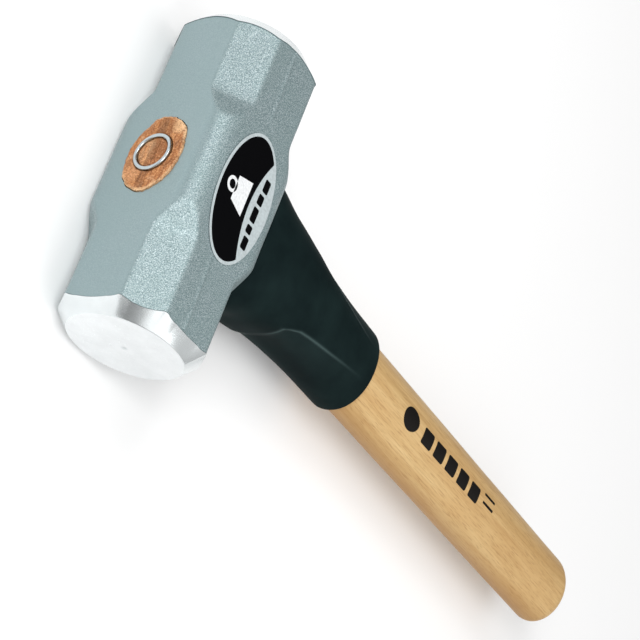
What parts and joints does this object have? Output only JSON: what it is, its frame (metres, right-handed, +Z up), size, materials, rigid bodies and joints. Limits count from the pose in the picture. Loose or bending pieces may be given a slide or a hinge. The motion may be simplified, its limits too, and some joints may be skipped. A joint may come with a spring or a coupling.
{
  "type": "sledgehammer",
  "caption": "Short-handled sledgehammer: square forged steel head with octagonal ends, oval wooden handle held by a wood wedge and a steel ring, and a rubber guard sleeve below the head.",
  "frame": {"origin": "on the flat of the lower cheek of the head, straight below the centre of the head, which is also where the handle's axis crosses the head's axis", "axes": "+X along the handle, from the head to the butt; +Y along the head, from one striking face to the other; +Z up through the cheek that carries the label"},
  "size_m": [0.4158, 0.1564, 0.0602],
  "materials": {
    "painted_steel": "satin silver-grey coat over a grainy forging, ground bright on the bevels and faces",
    "hickory": "satin clear lacquer",
    "wedge_wood": "raw end grain",
    "bright_steel": "bright, lightly brushed",
    "black_rubber": "satin moulded",
    "label_film": "printed film"
  },
  "bodies": {
    "root": {"head": "painted_steel", "handle": "hickory", "wood_wedge": "wedge_wood", "ring_wedge": "bright_steel", "guard_sleeve": "black_rubber", "label": "label_film"}
  },
  "joints": []
}
